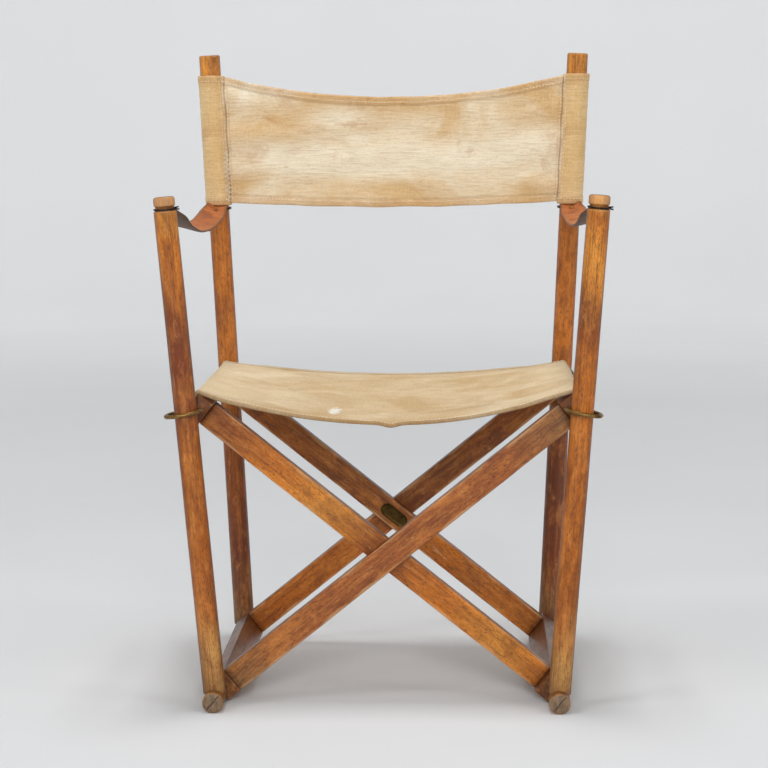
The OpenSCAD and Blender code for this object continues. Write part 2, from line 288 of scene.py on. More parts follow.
def cloth(name, grid, half, threads, material, wrap=False, flip=None, marks=None):
    """A thin closed cloth from a grid of mid points. half is half its thickness at each point,
    threads its place along the weave, and flip the way of the grid that is run backwards."""
    nu, nv = np.array(grid).shape[:2]

    def laid(values):
        values = np.array(values, float)
        values = values.reshape((nu, nv) if values.size == nu * nv else (nu, nv, 3))
        return values if flip is None else np.flip(values, flip)
    mid, half, threads = laid(grid), laid(half), laid(threads)
    marks = {key: laid(values) for key, values in marks.items()}
    du = np.roll(mid, -1, 0) - np.roll(mid, 1, 0) if wrap else np.gradient(mid, axis=0)
    dv = np.gradient(mid, axis=1)
    normal = np.cross(du, dv)
    normal /= np.linalg.norm(normal, axis=2, keepdims=True) + 1e-12
    points = list((mid + normal * half[..., None]).reshape(-1, 3))
    points += list((mid - normal * half[..., None]).reshape(-1, 3))
    values = {"thread": list(threads.reshape(-1, 3)) * 2, "face_side": [1.0] * (nu * nv) + [0.0] * (nu * nv)}
    values.update({key: list(mark.reshape(-1)) * 2 for key, mark in marks.items()})

    def at(i, j, layer=0):
        return layer * nu * nv + (i % nu) * nv + j
    faces = []
    for i in range(nu if wrap else nu - 1):
        for j in range(nv - 1):
            faces.append((at(i, j), at(i + 1, j), at(i + 1, j + 1), at(i, j + 1)))
            faces.append((at(i, j, 1), at(i, j + 1, 1), at(i + 1, j + 1, 1), at(i + 1, j, 1)))
    if wrap:
        rims = [[(i, 0) for i in range(nu)], [(i, nv - 1) for i in range(nu - 1, -1, -1)]]
    else:
        rims = [[(i, 0) for i in range(nu)] + [(nu - 1, j) for j in range(1, nv)]
                + [(i, nv - 1) for i in range(nu - 2, -1, -1)] + [(0, j) for j in range(nv - 2, 0, -1)]]
    for rim in rims:
        first = len(points)
        for i, j in rim:
            away = np.zeros(3)
            for edge, step in ((j == 0, -dv[i, j]), (j == nv - 1, dv[i, j]),
                               (i == 0 and not wrap, -du[i, j]), (i == nu - 1 and not wrap, du[i, j])):
                if edge:
                    away = away + unit(step)
            points.append(mid[i, j] + unit(away) * half[i, j] * 0.8)
            for key, mark in marks.items():
                values[key].append(mark[i, j])
            values["thread"].append(threads[i, j])
            values["face_side"].append(0.5)
        for k, (i, j) in enumerate(rim):
            m = (k + 1) % len(rim)
            p, q = rim[m]
            faces.append((at(i, j), first + k, first + m, at(p, q)))
            faces.append((first + k, at(i, j, 1), at(p, q, 1), first + m))
    return build(name, points, faces, material, marks=values)


def stitches(name, path, normals, material, pitch=0.0052, length=0.0034, radius=0.00042, zigzag=0.0):
    """A row of sewn stitches along a path, as short thread bumps that dip at both ends."""
    path, normals = np.array(path, float), np.array(normals, float)
    run = np.concatenate([[0], np.cumsum(np.linalg.norm(np.diff(path, axis=0), axis=1))])
    lift, sides = 0.0002, 6
    steps = ((0, 0.4), (0.15, 0.95), (0.5, 1.0), (0.85, 0.95), (1, 0.4))

    def along(d, values):
        return np.array([np.interp(d, run, values[:, k]) for k in range(3)])
    points, faces = [], []
    for s in range(int(run[-1] / pitch)):
        first = len(points)
        for t, fat in steps:
            d = (s + 0.5) * pitch + (t - 0.5) * length
            p, q = along(d, path), unit(along(d, normals))
            across = np.cross(unit(along(d + 1e-3, path) - p + 1e-9), q)
            sway = zigzag * (t - 0.5) * (1 if s % 2 else -1)
            middle = p + q * (lift + radius * (-0.8 + 1.5 * math.sin(math.pi * t))) + across * sway
            points += [middle + radius * fat * (math.cos(a) * across + math.sin(a) * q)
                       for a in circle(sides)]
        faces += loop_faces(len(steps), sides, first=first)
        last = first + (len(steps) - 1) * sides
        faces.append(tuple(first + j for j in range(sides - 1, -1, -1)))
        faces.append(tuple(last + j for j in range(sides)))
    return build(name, points, faces, material)


# -------------------------------------------------------------- materials

class Nodes:
    """A short way to write a node tree."""

    def __init__(self, name):
        self.material = bpy.data.materials.new(name)
        self.material.use_nodes = True
        self.tree = self.material.node_tree
        self.shader = self.tree.nodes["Principled BSDF"]

    def add(self, kind, **settings):
        node = self.tree.nodes.new("ShaderNode" + kind)
        for key, value in settings.items():
            setattr(node, key, value)
        return node

    def put(self, target, value):
        if hasattr(value, "is_output") or hasattr(value, "links"):
            self.tree.links.new(value, target)
        else:
            target.default_value = value

    def math(self, operation, a, b=0.0, clamp=False):
        node = self.add("Math", operation=operation, use_clamp=clamp)
        self.put(node.inputs[0], a)
        self.put(node.inputs[1], b)
        return node.outputs[0]

    def plus(self, a, b, clamp=False):
        return self.math("ADD", a, b, clamp)

    def minus(self, a, b):
        return self.math("SUBTRACT", a, b)

    def times(self, a, b, clamp=False):
        return self.math("MULTIPLY", a, b, clamp)

    def coords(self):
        return self.add("TexCoord").outputs["Object"]

    def attribute(self, name, output="Fac"):
        return self.add("Attribute", attribute_name=name).outputs[output]

    def mapped(self, vector, scale, move=(0, 0, 0)):
        node = self.add("Mapping")
        self.put(node.inputs["Vector"], vector)
        node.inputs["Scale"].default_value = scale
        node.inputs["Location"].default_value = move
        return node.outputs[0]

    def noise(self, vector, scale, move=(0, 0, 0), detail=4, rough=0.55, warp=0.0):
        """Noise whose scale differs along each axis."""
        node = self.add("TexNoise")
        self.put(node.inputs["Vector"], self.mapped(vector, scale, move))
        node.inputs["Scale"].default_value = 1.0
        node.inputs["Detail"].default_value = detail
        node.inputs["Roughness"].default_value = rough
        node.inputs["Distortion"].default_value = warp
        return node.outputs["Fac"]

    def ramp(self, value, stops):
        node = self.add("ValToRGB")
        elements = node.color_ramp.elements
        while len(elements) < len(stops):
            elements.new(0.5)
        for element, (position, colour) in zip(elements, stops):
            element.position = position
            element.color = colour if hasattr(colour, "__len__") else (colour, colour, colour, 1)
        self.put(node.inputs[0], value)
        return node.outputs[0]

    def mix(self, factor, a, b):
        node = self.add("Mix", data_type="RGBA")
        self.put(node.inputs["Factor"], factor)
        self.put(node.inputs[6], a)
        self.put(node.inputs[7], b)
        return node.outputs[2]

    def tint(self, colour, value, stops, other):
        """colour with another over it, by as much as the stops make of a value."""
        return self.mix(self.ramp(value, stops), colour, other)

    def range(self, value, low, high, to_low=0.0, to_high=1.0):
        node = self.add("MapRange", clamp=True)
        self.put(node.inputs[0], value)
        for i, number in enumerate((low, high, to_low, to_high)):
            node.inputs[i + 1].default_value = number
        return node.outputs[0]

    def bump(self, height, distance, strength=1.0, normal=None):
        node = self.add("Bump")
        node.inputs["Distance"].default_value = distance
        node.inputs["Strength"].default_value = strength
        self.put(node.inputs["Height"], height)
        if normal is not None:
            self.put(node.inputs["Normal"], normal)
        return node.outputs[0]

    def finish(self, colour, roughness, normal=None, **sockets):
        self.put(self.shader.inputs["Base Color"], colour)
        self.put(self.shader.inputs["Roughness"], roughness)
        if normal is not None:
            self.put(self.shader.inputs["Normal"], normal)
        for key, value in sockets.items():
            self.shader.inputs[key.replace("_", " ")].default_value = value
        return self.material


def wood(name, seed, tones, length=1.0, grain="Z", stain=0.55, pale=0.5, end_grain=False):
    """Old stained and varnished beech. tones are colour stops along the piece's own grain axis."""
    n = Nodes(name)
    place = n.coords()
    parts = n.add("SeparateXYZ")
    n.put(parts.inputs[0], place)
    across, along = parts.outputs[1], parts.outputs[2]
    if grain == "Y":
        across, along = along, across
        turn = n.add("CombineXYZ")
        for socket, part in zip(turn.inputs, (parts.outputs[0], across, along)):
            n.put(socket, part)
        place = turn.outputs[0]
    cloudy = n.noise(place, (22, 22, 7), (seed, 0, seed), 3)
    where = n.plus(n.range(along, -length / 2, length / 2), n.times(n.minus(cloudy, 0.5), 0.16))
    base = n.ramp(where, tones)
    figure = n.noise(place, (44, 44, 2.2), (seed * 3, seed, 0), 5, 0.6, 0.6)
    base = n.tint(base, figure, [(0.38, 0.34), (0.60, 0.0)], rgb(104, 52, 18))
    streak = n.noise(place, (170, 170, 7), (seed, seed * 2, 0), 4, 0.6)
    base = n.tint(base, streak, [(0.47, 0.0), (0.72, 0.34)], rgb(226, 152, 72))
    dark_streak = n.noise(place, (420, 420, 11), (seed, 0, 4 + seed), 4, 0.6)
    base = n.tint(base, dark_streak, [(0.36, 0.5), (0.48, 0.0)], rgb(92, 44, 14))
    patch = n.noise(place, (13, 13, 7), (0, seed * 2, seed), 6, 0.66, 0.9)
    base = n.tint(base, patch, [(0.50, 0.0), (0.63, stain)], rgb(96, 42, 18))
    glow = n.noise(place, (19, 19, 9), (seed, 4, seed), 5, 0.62, 0.5)
    base = n.tint(base, glow, [(0.52, 0.0), (0.68, 0.5)], rgb(214, 132, 54))
    mottle = n.noise(place, (120, 120, 44), (seed, 2, seed), 6, 0.7, 0.4)
    base = n.tint(base, mottle, [(0.36, 0.46), (0.50, 0.0)], rgb(98, 48, 20))
    base = n.tint(base, mottle, [(0.54, 0.0), (0.70, 0.38)], rgb(222, 150, 78))
    flecks = n.noise(place, (980, 980, 190), (seed, 0, 0), 3, 0.6)
    fleck = n.ramp(flecks, [(0.37, 1.0), (0.45, 0.0)])
    base = n.mix(n.times(fleck, 0.62), base, rgb(66, 32, 12))
    wear = n.attribute("wear")
    rub = n.noise(place, (85, 85, 26), (seed, seed, 1), 6, 0.7)
    bare = n.times(n.range(n.plus(wear, rub), 1.10, 1.42), pale, clamp=True)
    base = n.mix(bare, base, rgb(214, 168, 118))
    scuff = n.noise(place, (60, 60, 14), (seed * 5, 0, 9), 7, 0.75, 0.4)
    scuffs = n.ramp(scuff, [(0.665, 0.0), (0.70, 0.5)])
    base = n.mix(scuffs, base, rgb(216, 172, 124))
    scratch = n.noise(place, (420, 30, 28), (seed * 2, 3, 0), 2, 0.4, 0.3)
    base = n.tint(base, scratch, [(0.745, 0.0), (0.765, 0.4)], rgb(226, 182, 136))
    grime = n.attribute("grime")
    dirt = n.times(grime, n.range(rub, 0.25, 0.6, 0.5, 1.0), clamp=True)
    base = n.mix(n.times(dirt, 0.8), base, rgb(48, 28, 17))
    height = n.plus(n.times(streak, 0.5), n.times(fleck, -0.7))
    height = n.plus(height, n.times(scuffs, -0.8))
    if end_grain:
        end = n.attribute("end")
        shake = n.times(n.minus(rub, 0.5), 0.006)
        line = n.plus(n.times(parts.outputs[0], 0.75), n.plus(n.times(across, 0.66), shake))
        line = n.math("ABSOLUTE", line)
        crack = n.times(n.range(line, 0.0003, 0.0011, 1.0, 0.0), end)
        rings = n.noise(place, (260, 120, 20), (seed, 1, 0), 3)
        tone = n.ramp(rings, [(0.35, rgb(96, 78, 60)), (0.65, rgb(140, 114, 86))])
        base = n.mix(end, base, tone)
        base = n.mix(crack, base, rgb(74, 54, 38))
        height = n.minus(height, n.times(crack, 4.0))
    # painted shade: the wood is darkened where its faces turn away from the view, so the round poles look
    # shaded at their sides
    painted_edge_shade = n.add("LayerWeight").outputs["Facing"]
    base = n.mix(n.range(painted_edge_shade, 0.28, 0.92, 0.0, 0.70), base, rgb(86, 38, 10))
    rough = n.plus(n.range(rub, 0.3, 0.7, 0.30, 0.47), n.times(bare, 0.22))
    rough = n.plus(rough, n.times(dirt, 0.2), clamp=True)
    normal = n.bump(height, 0.00035, 0.7)
    wavy = n.noise(place, (40, 40, 9), (0, seed, 0), 2)
    normal = n.bump(wavy, 0.0006, 0.35, normal)
    return n.finish(base, rough, normal, Coat_Weight=0.07, Coat_Roughness=0.24,
                    Specular_IOR_Level=0.32)


def woven(name, seed, base, light, brown, threads, light_amount, brown_amount):
    """Heavy plain canvas. threads are the pitches across and along, in metres."""
    n = Nodes(name)
    place = n.attribute("thread", "Vector")
    parts = n.add("SeparateXYZ")
    n.put(parts.inputs[0], place)
    slub = n.noise(place, (34, 430, 1), (seed, 0, 0), 4, 0.7)
    slub_v = n.noise(place, (430, 34, 1), (0, seed, 0), 4, 0.7)
    heather = n.noise(place, (330, 420, 1), (4, seed, 0), 4, 0.7)
    phase_u = n.times(parts.outputs[0], math.pi / threads[0])
    phase_v = n.plus(n.times(parts.outputs[1], math.pi / threads[1]), n.times(slub, 1.2))
    wave_u = n.math("ABSOLUTE", n.math("SINE", phase_u))
    wave_v = n.math("ABSOLUTE", n.math("SINE", phase_v))
    row = n.math("FLOOR", n.math("DIVIDE", phase_v, math.pi))
    over = n.math("SINE", n.plus(phase_u, n.times(row, math.pi)))
    weave = n.plus(n.times(wave_u, 0.25), n.times(over, 0.15))
    weave = n.plus(n.times(wave_v, 0.6), weave)
    spot = n.noise(place, (7, 11, 1), (seed, seed, 0), 6, 0.62, 0.6)
    colour = n.mix(n.ramp(spot, [(0.34, 1.0), (0.60, 0.0)]), base, light)
    band = n.range(n.plus(n.attribute("fade"), n.times(spot, 0.5)), 0.45, 1.05)
    colour = n.mix(n.times(band, light_amount, clamp=True), colour, light)
    blot = n.noise(place, (9, 14, 1), (seed * 2, 5, 0), 7, 0.68, 1.0)
    colour = n.tint(colour, blot, [(0.54, 0.0), (0.70, brown_amount)], brown)
    specks = n.noise(place, (90, 90, 1), (3, seed, 0), 4, 0.6)
    colour = n.tint(colour, specks, [(0.66, 0.0), (0.76, 0.5)], brown)
    hem = n.attribute("hem")
    soil = n.noise(place, (26, 26, 1), (8, seed, 0), 5, 0.7)
    soiled = n.times(hem, n.range(soil, 0.3, 0.7, 0.15, 0.85), clamp=True)
    colour = n.mix(n.times(soiled, 0.55), colour, brown)
    colour = n.mix(n.range(slub, 0.46, 0.70, 0.0, 0.42), colour, rgb(174, 132, 78))
    colour = n.mix(n.range(slub_v, 0.46, 0.72, 0.0, 0.30), colour, rgb(244, 222, 180))
    colour = n.mix(n.range(heather, 0.50, 0.68, 0.0, 0.34), colour, rgb(170, 126, 72))
    colour = n.mix(n.range(heather, 0.48, 0.32, 0.0, 0.30), colour, rgb(242, 218, 174))
    colour = n.mix(n.range(weave, 0.15, 0.8, 0.24, 0.0), colour, rgb(160, 118, 68))
    # painted shadow: the seam mark darkens the back's seam groove and the lines under the hems' inner edges;
    # on the seat it also darkens the cut edge
    colour = n.mix(n.times(n.attribute("seam"), 0.8, clamp=True), colour, rgb(98, 66, 34))
    ragged = n.noise(place, (150, 210, 1), (seed, 9, 0), 4, 0.7)
    torn = n.plus(n.attribute("bare"), n.times(n.minus(ragged, 0.5), 7.5))
    torn = n.times(torn, n.range(n.attribute("bare"), 0.05, 0.4))
    bare = n.range(torn, 0.55, 0.80, 0.0, 0.95)
    colour = n.mix(bare, colour, rgb(248, 244, 234))
    fluff = n.noise(place, (700, 700, 1), (seed, 2, 0), 3, 0.6)
    height = n.plus(weave, n.times(fluff, 0.3))
    crease = n.noise(place, (10, 22, 1), (seed, 7, 0), 5, 0.6, 1.2)
    normal = n.bump(crease, 0.006, 0.42)
    normal = n.bump(slub, 0.0007, 0.8, normal)
    normal = n.bump(height, 0.0006, 0.85, normal)
    return n.finish(colour, n.range(fluff, 0.3, 0.7, 0.82, 0.95), normal, Sheen_Weight=0.15,
                    Sheen_Roughness=0.5, Specular_IOR_Level=0.25)


def leather(name, seed):
    """Worn tan leather, cracked and dark at its edges; its raw underside is coloured dark, partly with
    painted shade.
    """
    n = Nodes(name)
    place = n.coords()
    side = n.attribute("face_side")
    blot = n.noise(place, (30, 30, 30), (seed, 0, 0), 6, 0.65, 0.5)
    top = n.ramp(blot, [(0.30, rgb(112, 58, 30)), (0.48, rgb(188, 100, 44)), (0.62, rgb(208, 128, 66)),
                        (0.72, rgb(138, 76, 38))])
    # the underside's dark colour: partly the raw flesh side, partly painted shade
    under = n.ramp(blot, [(0.35, rgb(62, 44, 34)), (0.6, rgb(104, 74, 54))])
    colour = n.mix(n.range(side, 0.55, 0.95), under, top)
    edge = n.attribute("hem")
    worn = n.times(edge, n.range(blot, 0.3, 0.6, 0.3, 1.0), clamp=True)
    colour = n.mix(n.times(worn, 0.7), colour, rgb(84, 48, 28))
    cells = n.add("TexVoronoi", feature="DISTANCE_TO_EDGE")
    n.put(cells.inputs["Vector"], n.mapped(place, (900, 900, 900), (seed, 0, 0)))
    cracks = n.range(cells.outputs["Distance"], 0.0, 0.12)
    crease = n.noise(place, (60, 420, 60), (seed, 4, 0), 5, 0.6)
    colour = n.tint(colour, crease, [(0.34, 0.5), (0.44, 0.0)], rgb(76, 42, 26))
    height = n.plus(n.times(cracks, 0.35), crease)
    normal = n.bump(height, 0.0006, 0.8)
    return n.finish(colour, n.range(blot, 0.3, 0.7, 0.38, 0.62), normal, Specular_IOR_Level=0.45)


def brass(name, seed, dull=0.6, dark=rgb(58, 42, 18), bright=rgb(176, 136, 74)):
    """Aged brass: brown in the hollows, rubbed bright where it moves."""
    n = Nodes(name)
    place = n.coords()
    blot = n.noise(place, (120, 120, 120), (seed, 0, 0), 6, 0.68, 0.4)
    fine = n.noise(place, (900, 900, 900), (0, seed, 0), 3, 0.6)
    mid = tuple(0.5 * (a + b) for a, b in zip(dark, bright))
    colour = n.ramp(blot, [(0.30, dark), (0.30 + 0.35 * dull, mid), (0.80, bright)])
    colour = n.tint(colour, fine, [(0.58, 0.0), (0.74, 0.5)], dark)
    scratch = n.noise(place, (260, 1900, 260), (seed, 2, 0), 2, 0.5)
    normal = n.bump(n.plus(n.times(scratch, 0.4), fine), 0.00018, 0.7)
    return n.finish(colour, n.range(blot, 0.3, 0.75, 0.52, 0.26), normal, Metallic=1.0)


def thread_material(name, colour):
    """Twisted thread, dirty in places."""
    n = Nodes(name)
    place = n.coords()
    twist = n.noise(place, (1500, 1500, 1500), (0, 0, 0), 3, 0.6)
    dirt = n.noise(place, (50, 50, 50), (0, 0, 0), 4, 0.6)
    shade = n.mix(n.ramp(dirt, [(0.4, 0.0), (0.7, 0.55)]), colour, rgb(168, 132, 88))
    return n.finish(shade, n.range(twist, 0.3, 0.7, 0.75, 0.92), n.bump(twist, 0.0002, 0.8),
                    Sheen_Weight=0.1)


def floor_material():
    """The plain backdrop, which glows a little away from the chair."""
    n = Nodes("studio_floor")
    place = n.coords()
    tone = n.noise(place, (1.3, 1.3, 1.3), (0, 0, 0), 3)
    colour = n.ramp(tone, [(0.3, rgb(221, 222, 223)), (0.7, rgb(224, 225, 226))])
    fine = n.noise(place, (160, 160, 160), (0, 0, 0), 3)
    n.put(n.shader.inputs["Emission Color"], colour)
    n.put(n.shader.inputs["Emission Strength"], n.times(n.attribute("glow"), BACKDROP_GLOW))
    return n.finish(colour, n.range(fine, 0.3, 0.7, 0.86, 0.94), n.bump(fine, 0.0002, 0.15),
                    Specular_IOR_Level=0.15)


# tones of the wood's stain, after the photo, and one painted shade for the rear slats
WARM = rgb(210, 118, 20)
HONEY = rgb(232, 152, 52)
RED = rgb(122, 54, 14)
DEEP = rgb(166, 88, 10)
GREYED = rgb(196, 144, 76)
DUSTY = rgb(150, 110, 66)
GOLD = rgb(154, 84, 6)
CLAY = rgb(166, 92, 38)
# painted shade: the dark tone of the rear slats' middle, where the front slats shade them at the crossing
CROSSING_SHADE = rgb(116, 60, 4)
UMBER = rgb(96, 60, 30)


# ------------------------------------------------------------------- wood

@functools.lru_cache(maxsize=None)
def pole_axis(which):
    """The foot and direction of a pole's centre line."""
    name = "left" if which.endswith("left") else "right"
    side = -1 if name == "left" else 1
    low, high = low_high(which + "_pole")
    lean = math.radians(LEAN[which])
    runner_z = low_high("left_runner")[1][2] - RUNNER_R
    foot = np.array([centre(name + "_runner")[0], (low[1] + high[1]) / 2, runner_z])
    return foot, np.array([side * math.sin(lean), 0, math.cos(lean)])


def on_pole(which, z):
    """The point of a pole's centre line at a height."""
    foot, way = pole_axis(which)
    return foot + way * (z - foot[2]) / way[2]


def pole_top(which, top_r):
    """How far up its own axis a pole ends, from the CAD's height and the radius of its end."""
    foot, way = pole_axis(which)
    return (low_high(which + "_pole")[1][2] - foot[2]) / way[2] - top_r * math.sin(math.radians(LEAN[which]))


def foot_dirt(z):
    """Grime near a pole's foot."""
    return 0.55 * math.exp(-max(z - 0.01, 0) / 0.016)


def rounded(r, z0, z1, edge, wear_top, rows, grime, low_edge=0.001):
    """Rows for a round bar with softened ends."""
    out = [(r - low_edge, z0, 0.4, grime(z0)), (r - 0.3 * low_edge, z0 + 0.4 * low_edge, 0.5, grime(z0)),
           (r, z0 + low_edge, 0.3, grime(z0))]
    out += [(r, z, 0.0, grime(z)) for z in np.linspace(z0 + 2 * low_edge, z1 - edge - 0.002, rows)]
    out += [(r - edge + edge * math.cos(a), z1 - edge + edge * math.sin(a), wear_top, 0.0) for a in arc(7)]
    out.append((r * 0.55, z1 + 0.0001, 0.3, 0.0))
    return out


def front_pole(which, tones, seed):
    """A front pole with its turned neck and the cap above it."""
    top = pole_top(which, CAP_R)
    body_top = top - CAP_H - NECK_H
    cap_low = body_top + NECK_H
    low_r, top_r = 0.0012, 0.0036
    profile = rounded(POLE_R, POLE_FOOT, body_top, 0.0022, 0.8, 96, foot_dirt)[:-1]
    profile += [(NECK_R + 0.0005, body_top + 0.0006, 0.1, 0.6), (NECK_R, body_top + 0.0018, 0.0, 0.7),
                (NECK_R, cap_low - 0.0018, 0.0, 0.7), (NECK_R + 0.0006, cap_low - 0.0004, 0.0, 0.5)]
    profile += [(CAP_R - low_r + low_r * math.sin(a), cap_low + low_r - low_r * math.cos(a), 0.9, 0.0)
                for a in arc(4)]
    profile += [(CAP_R - top_r + top_r * math.cos(a), top - top_r + top_r * math.sin(a), 1.0, 0.0)
                for a in arc(9)]
    profile.append((CAP_R * 0.4, top + 0.0001, 0.9, 0.0))
    return turned_pole(which, profile, top, tones, seed)


def rear_pole(which, tones, seed):
    """A plain rear pole, rounded at the top."""
    top = pole_top(which, POLE_R)
    profile = rounded(POLE_R, POLE_FOOT, top, 0.0024, 0.7, 130, foot_dirt)
    return turned_pole(which, profile, top, tones, seed)


def turned_pole(which, profile, top, tones, seed):
    material = wood("beech_" + which + "_pole", seed, tones, length=top * 2, stain=0.6)
    return lathe(which + "_pole_wood", profile, material, axes(*pole_axis(which)), seed)


def runner(name, seed):
    """A floor runner, worn flat where it stands."""
    node = name + "_runner"
    low, high = low_high(node)
    length = high[1] - low[1]
    mid = np.array([(low[0] + high[0]) / 2, (low[1] + high[1]) / 2, high[2] - RUNNER_R])
    rows = rounded(RUNNER_R, 0.0, length, 0.0022, 0.9, 90, lambda z: 0.25, low_edge=0.0022)
    rows = [(r, z - length / 2, w, g) for r, z, w, g in rows]
    tones = [(0.0, GREYED), (0.25, DUSTY), (0.55, GREYED), (1.0, DUSTY)]
    material = wood("beech_" + node, seed, tones, length=length, stain=0.35, end_grain=True)
    obj = lathe(node + "_wood", rows, material, axes(mid, (0, 1, 0), (1, 0, 0)), seed)
    world = obj.matrix_world
    back = world.inverted()
    ends = []
    for v in obj.data.vertices:
        p = world @ v.co
        p.z = max(p.z, float(low[2]) + 0.00002)
        p.y = min(max(p.y, float(low[1])), float(high[1]))
        v.co = back @ p
        at_end = abs(abs(v.co.z) - length / 2) < 0.0008
        ends.append(1.0 if at_end and v.co.xy.length < RUNNER_R - 0.0014 else 0.0)
    mark = obj.data.attributes.new("end", "FLOAT", "POINT")
    mark.data.foreach_set("value", ends)
    return obj


def slat(node, side, seed, tones, stain):
    """A crossed slat. side is 1 where it rises to the right."""
    low, high = low_high(node)
    length = (high[2] - low[2] - SLAT[0] * math.cos(SLOPE)) / math.sin(SLOPE)
    material = wood("beech_" + node, seed, tones, length=length, stain=stain, pale=0.5)
    way, depth = Vector((side * math.cos(SLOPE), 0, math.sin(SLOPE))), Vector((0, 1, 0))
    place = placed(depth.cross(way), depth, way, centre(node))
    return beam(node + "_wood", place, SLAT, length, material, seed)


def seat_rail(node, side, seed):
    """A rail under the seat cloth's edge, tilted with the slats. side is 1 on the right."""
    low, high = low_high(node)
    length = high[1] - low[1]
    up, along = Vector((-side * math.sin(SLOPE), 0, math.cos(SLOPE))), Vector((0, 1, 0))
    tones = [(0.0, DEEP), (0.4, WARM), (0.7, DEEP), (1.0, RED)]
    material = wood("beech_" + node, seed, tones, length=length, stain=0.5, pale=0.8)
    place = placed(up, along.cross(up), along, centre(node))
    return beam(node + "_wood", place, SEAT_RAIL, length, material, seed, edge=0.002)


def make_wood():
    """Every wooden piece on its body. Tones run along each piece from its low or left end."""
    made = {}
    made["front_left_pole"] = front_pole("front_left", [
        (0.50, GREYED), (0.545, GREYED), (0.60, DEEP), (0.66, DEEP), (0.74, DEEP), (0.80, RED),
        (0.87, RED), (0.91, DEEP), (0.955, WARM), (0.975, WARM), (0.985, HONEY), (1.0, HONEY)], 1.3)
    made["front_right_pole"] = front_pole("front_right", [
        (0.50, GREYED), (0.55, GREYED), (0.61, DEEP), (0.70, DEEP), (0.78, WARM), (0.86, DEEP),
        (0.93, HONEY), (0.975, WARM), (0.985, HONEY), (1.0, HONEY)], 4.7)
    made["rear_left_pole"] = rear_pole("rear_left", [
        (0.50, DUSTY), (0.56, RED), (0.68, DEEP), (0.74, WARM), (0.86, WARM), (0.96, HONEY),
        (1.0, HONEY)], 7.9)
    made["rear_right_pole"] = rear_pole("rear_right", [
        (0.50, DUSTY), (0.56, RED), (0.67, RED), (0.74, WARM), (0.88, WARM), (0.96, HONEY),
        (1.0, HONEY)], 11.2)
    for name, seed in (("left", 2.2), ("right", 5.1)):
        made[name + "_runner"] = runner(name, seed)
    outer = [(0.0, DUSTY), (0.2, CLAY), (0.55, CLAY), (0.8, CLAY), (1.0, DUSTY)]
    inner = [(0.0, WARM), (0.14, HONEY), (0.3, WARM), (0.5, DEEP), (0.66, HONEY), (0.8, WARM), (0.9, DEEP),
             (1.0, RED)]
    # the rear slats' middle is darkened with painted shade where the front slats cross them
    rear = [(0.0, DEEP), (0.32, WARM), (0.43, GOLD), (0.5, CROSSING_SHADE), (0.64, CROSSING_SHADE), (0.78, GOLD),
            (1.0, GOLD)]
    made["outer_front_slat"] = slat("outer_front_slat", 1, 3.3, outer, 0.3)
    made["outer_rear_slat"] = slat("outer_rear_slat", 1, 6.1, rear, 0.5)
    made["inner_front_slat"] = slat("inner_front_slat", -1, 8.4, inner, 0.3)
    made["inner_rear_slat"] = slat("inner_rear_slat", -1, 9.7, rear, 0.5)
    made["outer_seat_rail"] = seat_rail("outer_seat_rail", 1, 12.5)
    made["inner_seat_rail"] = seat_rail("inner_seat_rail", -1, 13.6)
    for node, obj in made.items():
        if node.startswith(("outer", "inner")):
            body = node[:5] + "_stool"
        else:
            body = "left_frame" if "left" in node else "right_frame"
        settle(obj, body, node)
    rail = wood("beech_lower_rail", 15.5, [(0.0, UMBER), (0.5, DUSTY), (1.0, UMBER)], length=0.36,
                grain="Y", stain=0.5)
    for node in ("outer_lower_rail", "inner_lower_rail"):
        paint(node, rail)


def paint(node, material):
    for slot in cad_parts[node].material_slots:
        slot.material = material


# ------------------------------------------------------------------ canvas

def bell(distance, width):
    """1 at no distance, falling to 0 over a few widths."""
    return math.exp(-(distance / width) ** 2)


def hem_amount(edge, ease=0.0016):
    """1 on a hem, 0 inside it, from the distance to the cloth's edge."""
    return float(1 - smooth((edge - HEM_W) / ease))


def close_rows(margin, rim, inner):
    """Steps from 0 to 1, closer together near both ends."""
    return np.concatenate([np.linspace(0, margin, rim)[:-1], np.linspace(margin, 1 - margin, inner),
                           np.linspace(1 - margin, 1, rim)[1:]])


def seat_point(s, corner_x, corner_z, deep):
    """X and Z of the seat cloth s metres from its middle: hung, then down the rail's outer face."""
    down = abs(s) - corner_x
    if down <= 0:
        t = abs(s) / corner_x
        return s, corner_z - deep * (1 - t * t)
    radius = 0.004
    turn = min(down / (radius * 1.2), 1.0)
    bow = radius * 0.25 * math.sin(math.pi * turn)
    x = corner_x + math.sin(SLOPE) * down + bow
    return (x if s > 0 else -x), corner_z - math.cos(SLOPE) * down


def seat_corner():
    """Where the cloth turns over the outer rail's upper outside edge."""
    mid = centre("outer_seat_rail")
    half_t, half_w = SEAT_RAIL[1] / 2, SEAT_RAIL[0] / 2
    gap = 0.0006 + CANVAS_T / 2
    x = mid[0] + math.cos(SLOPE) * half_t - math.sin(SLOPE) * half_w + gap * 0.8
    z = mid[2] + math.sin(SLOPE) * half_t + math.cos(SLOPE) * half_w + gap * 0.9
    return x, z


